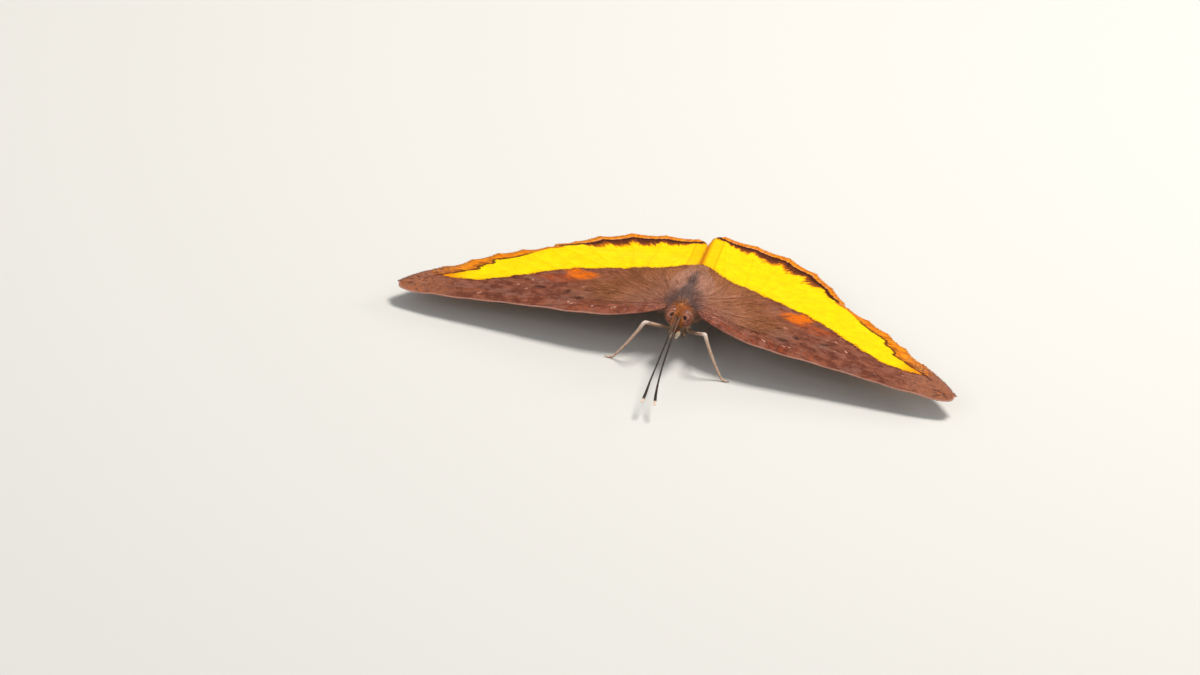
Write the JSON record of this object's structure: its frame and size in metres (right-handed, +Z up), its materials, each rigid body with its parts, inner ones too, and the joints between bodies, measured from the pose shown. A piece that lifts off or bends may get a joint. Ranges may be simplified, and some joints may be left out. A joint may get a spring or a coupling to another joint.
{
  "type": "butterfly figure",
  "caption": "Golden piper butterfly at life size, standing with wings spread flat, scalloped wing margins, feelers held forward and low.",
  "frame": {"origin": "floor level under the middle of the bounding box", "axes": "+Z up, +X towards the butterfly's left wing, and it faces -Y"},
  "size_m": [0.0484, 0.0324, 0.0054],
  "materials": {
    "brown_scales": "matt wing scales, brown with a golden yellow band",
    "body_scales": "matt slate-brown hair and scales",
    "face_scales": "matt orange-brown hair and scales",
    "eye_brown": "smooth and slightly glossy",
    "antenna_dark": "dark, satin",
    "leg_buff": "satin, finely scaled"
  },
  "bodies": {
    "root": {"head": "face_scales", "thorax": "body_scales", "abdomen": "body_scales", "proboscis": "face_scales", "eye_left": "eye_brown", "eye_right": "eye_brown", "palp_left": "face_scales", "palp_right": "face_scales", "antenna_left": "antenna_dark", "antenna_right": "antenna_dark", "foreleg_left": "leg_buff", "foreleg_right": "leg_buff", "midleg_left": "leg_buff", "midleg_right": "leg_buff", "hindleg_left": "leg_buff", "hindleg_right": "leg_buff", "forewing_left": "brown_scales", "forewing_right": "brown_scales", "hindwing_left": "brown_scales", "hindwing_right": "brown_scales"}
  },
  "joints": []
}
